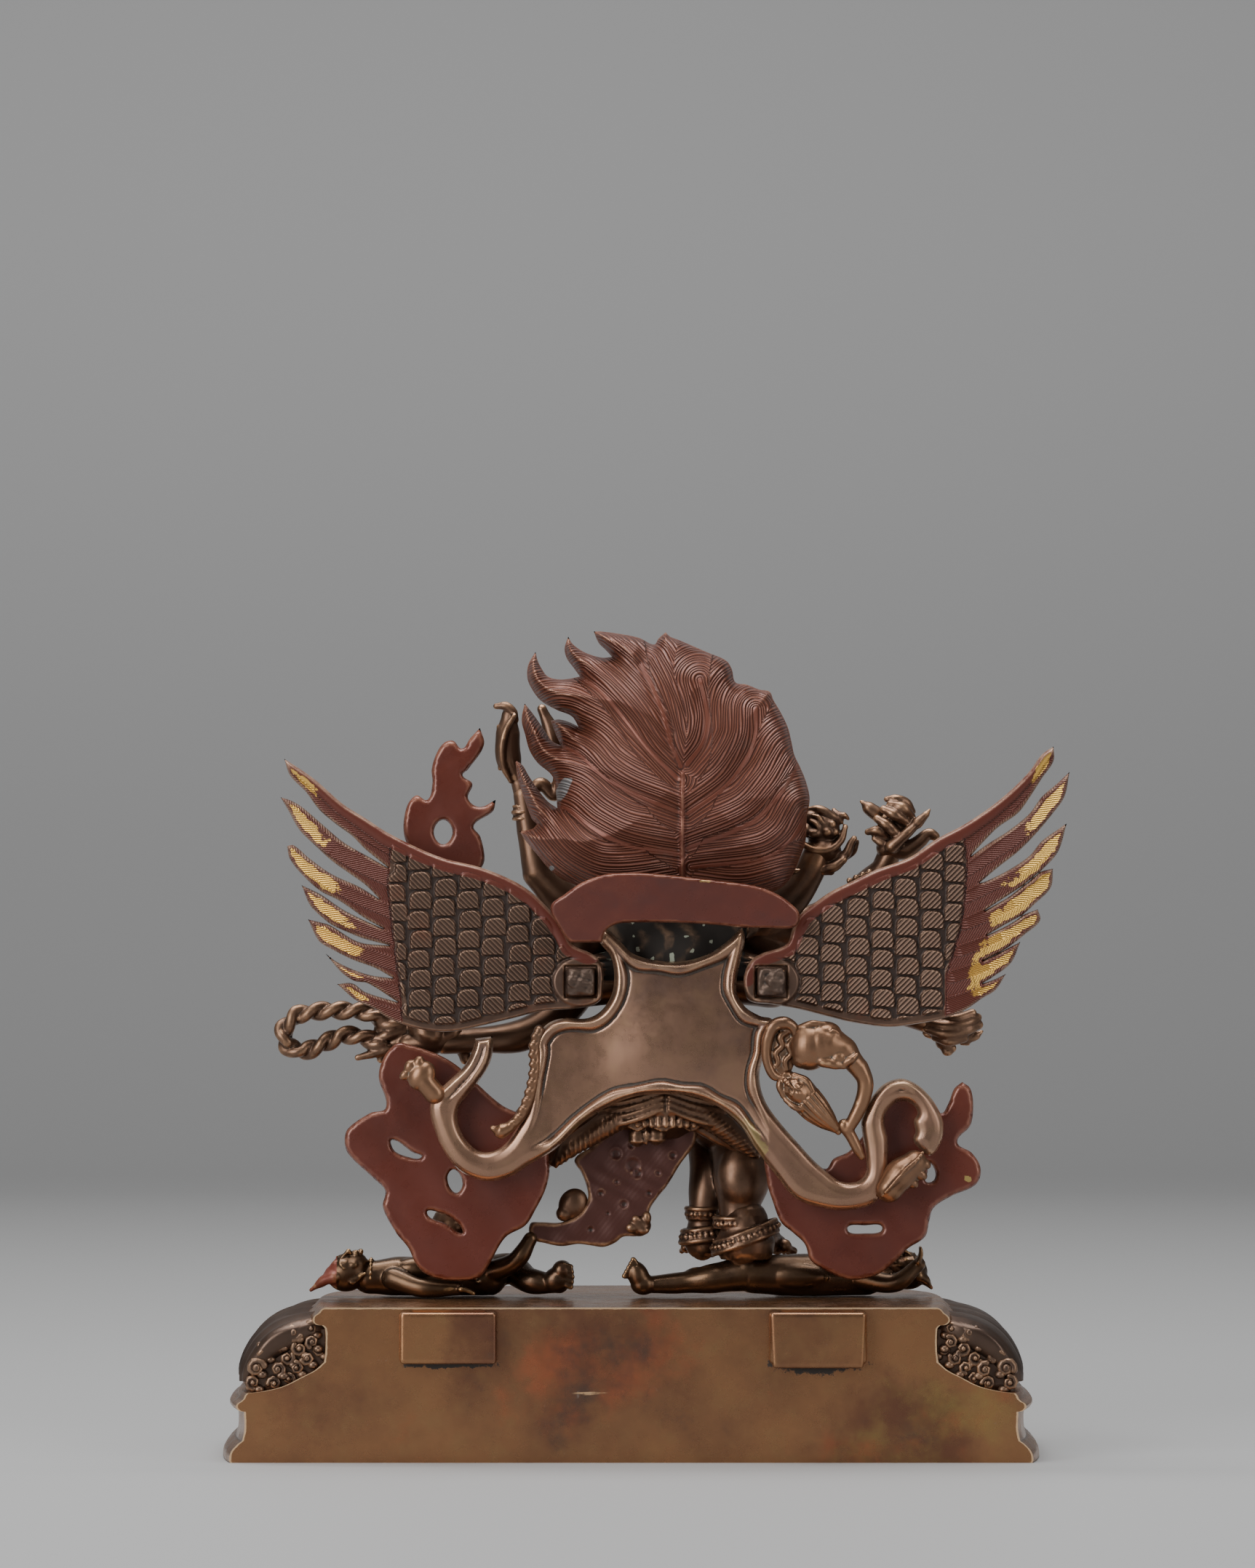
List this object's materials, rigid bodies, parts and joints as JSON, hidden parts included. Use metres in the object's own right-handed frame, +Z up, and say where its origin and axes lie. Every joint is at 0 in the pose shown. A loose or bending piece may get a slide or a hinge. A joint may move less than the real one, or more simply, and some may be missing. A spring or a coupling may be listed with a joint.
{
  "type": "vajrakilaya with consort statue",
  "caption": "Cast metal Himalayan deity group: a winged, many-armed deity and consort on a lotus plinth, with flayed hide, flame hair and flame plates.",
  "frame": {"origin": "middle of the plinth's underside, at the surface it stands on", "axes": "+Z up, -Y the deity's front, +Y the back with the hide and wings, +X the deity's left"},
  "size_m": [0.2327, 0.1185, 0.2263],
  "materials": {
    "plinth_bronze": "golden brown bronze, satin, patinated",
    "figure_bronze": "dark brown bronze, satin, rubbed on the high places",
    "wing_metal": "grey-brown lacquered scales, red feathers with worn gold tips",
    "hide_bronze": "mid brown bronze, satin, gold-coloured worn rims",
    "hair_red": "red-brown lacquer over chased hair",
    "plate_red": "dark red paint, satin",
    "trampled_bronze": "dark golden brown bronze, glossy"
  },
  "bodies": {
    "root": {"lotus_plinth": "plinth_bronze", "vajrakilaya_and_consort": "figure_bronze", "left_wing": "wing_metal", "right_wing": "wing_metal", "elephant_hide": "hide_bronze", "hair_flame": "hair_red", "nape_plate": "plate_red", "hand_flame": "plate_red", "left_flame_plate": "plate_red", "right_flame_plate": "plate_red", "left_trampled_figure": "trampled_bronze", "right_trampled_figure": "trampled_bronze"}
  },
  "joints": []
}
